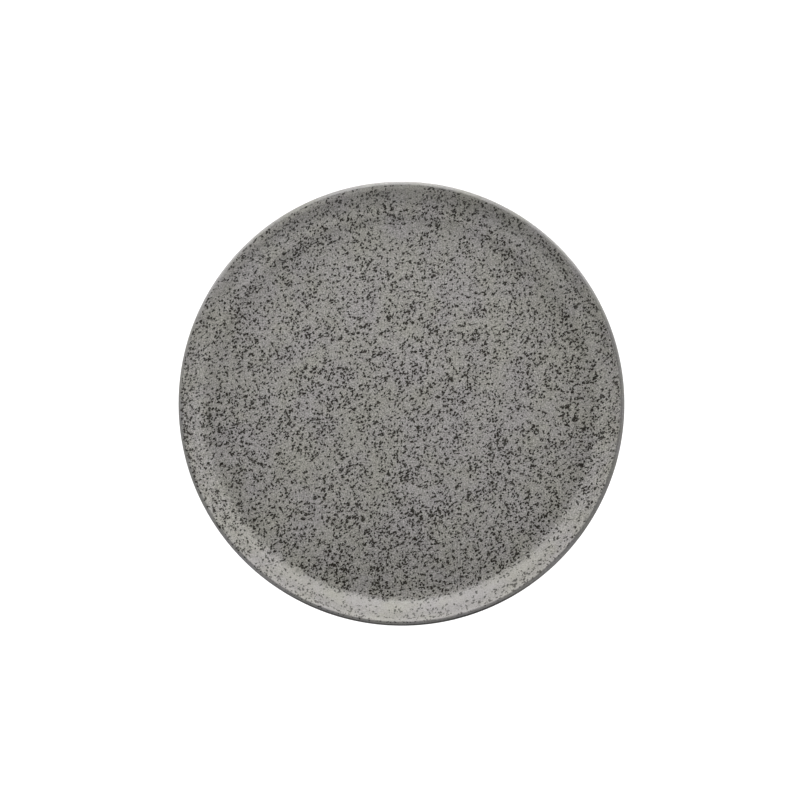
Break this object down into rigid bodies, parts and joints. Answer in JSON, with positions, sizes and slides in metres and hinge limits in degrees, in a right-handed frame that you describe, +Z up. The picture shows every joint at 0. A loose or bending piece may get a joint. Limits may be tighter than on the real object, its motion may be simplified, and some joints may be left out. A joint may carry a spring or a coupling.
{
  "type": "flat plate",
  "caption": "Round coupe dinner plate with a wide flat well, a short curved-up wall and a rounded lip, in grey stoneware with a dark granite speckle on the eating face.",
  "frame": {"origin": "centre of the foot ring's resting face, on the table", "axes": "+Z up along the plate's axis of revolution; the picture looks down from the -Y side, with +X to the right"},
  "size_m": [0.27, 0.27, 0.0212],
  "materials": {
    "clay": "matt, unglazed fired stoneware",
    "speckled_glaze": "satin grey glaze with dark granite speckle",
    "plain_glaze": "satin plain grey glaze",
    "recess_glaze": "satin plain grey glaze"
  },
  "bodies": {
    "root": {"clay_body": "clay", "face_glaze": "speckled_glaze", "outer_glaze": "plain_glaze", "base_glaze": "recess_glaze"}
  },
  "joints": []
}
